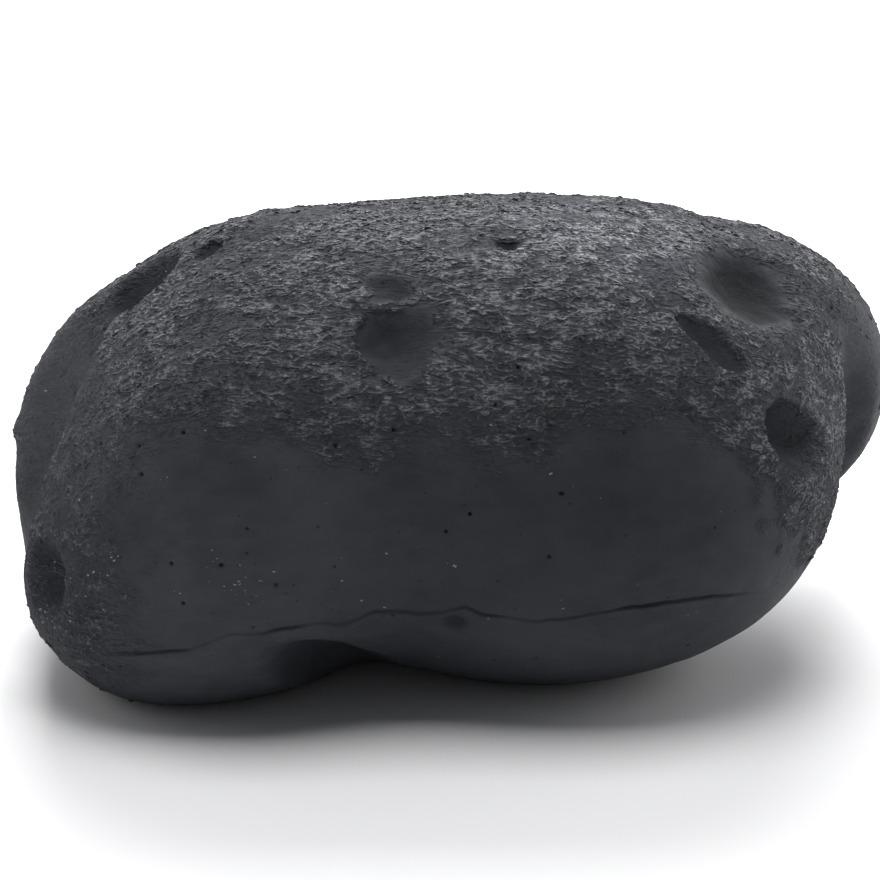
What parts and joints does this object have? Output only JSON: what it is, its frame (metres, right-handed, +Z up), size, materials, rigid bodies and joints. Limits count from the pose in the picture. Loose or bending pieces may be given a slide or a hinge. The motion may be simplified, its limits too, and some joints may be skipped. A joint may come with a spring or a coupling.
{
  "type": "river rock",
  "caption": "Water-worn dark cobble with a smooth bulging front, rough upper slopes and worn pockets, lying on blunt feet.",
  "frame": {"origin": "on the ground, under the middle of the bounding box", "axes": "+X along the stone, from its left to its right as seen from its smooth front; +Y from the front to the back; +Z up"},
  "size_m": [0.2, 0.138, 0.098],
  "materials": {
    "dark_stone": "matt, smooth on the front and gritty on the upper slopes"
  },
  "bodies": {
    "root": {"river_rock": "dark_stone"}
  },
  "joints": []
}
